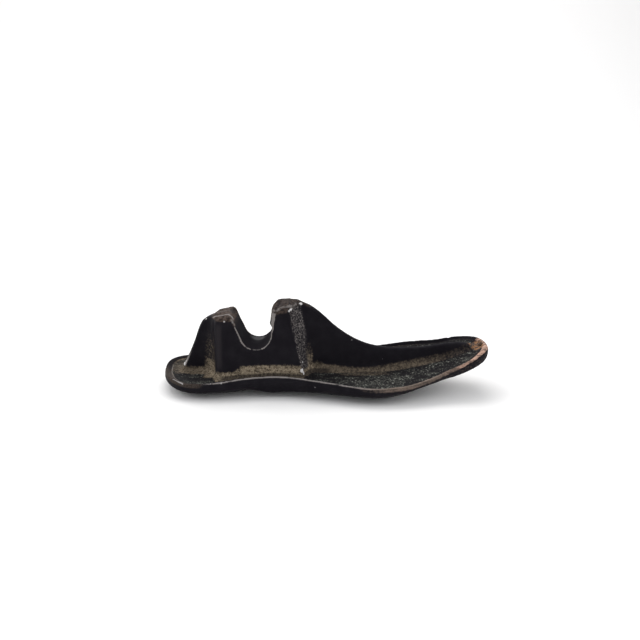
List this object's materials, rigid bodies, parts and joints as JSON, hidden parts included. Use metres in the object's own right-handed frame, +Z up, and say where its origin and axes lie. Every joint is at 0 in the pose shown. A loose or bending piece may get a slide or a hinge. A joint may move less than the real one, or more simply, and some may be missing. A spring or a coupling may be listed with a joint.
{
  "type": "paperweight",
  "caption": "Cast-iron cobbler's last lying on its sole as a paperweight: foot-shaped rimmed plate with a sprung toe, an upright web and a thick hub with a saddle notch.",
  "frame": {"origin": "on the surface that the sole rests on, below the middle of the bounding box", "axes": "+X along the foot to the toe, +Y to the little-toe side, +Z up through the posts"},
  "size_m": [0.1776, 0.0532, 0.0493],
  "materials": {
    "japanned_iron": "worn satin black lacquer over sand-cast iron, dusty brown rust in the fillets"
  },
  "bodies": {
    "root": {"shoe_last_casting": "japanned_iron"}
  },
  "joints": []
}
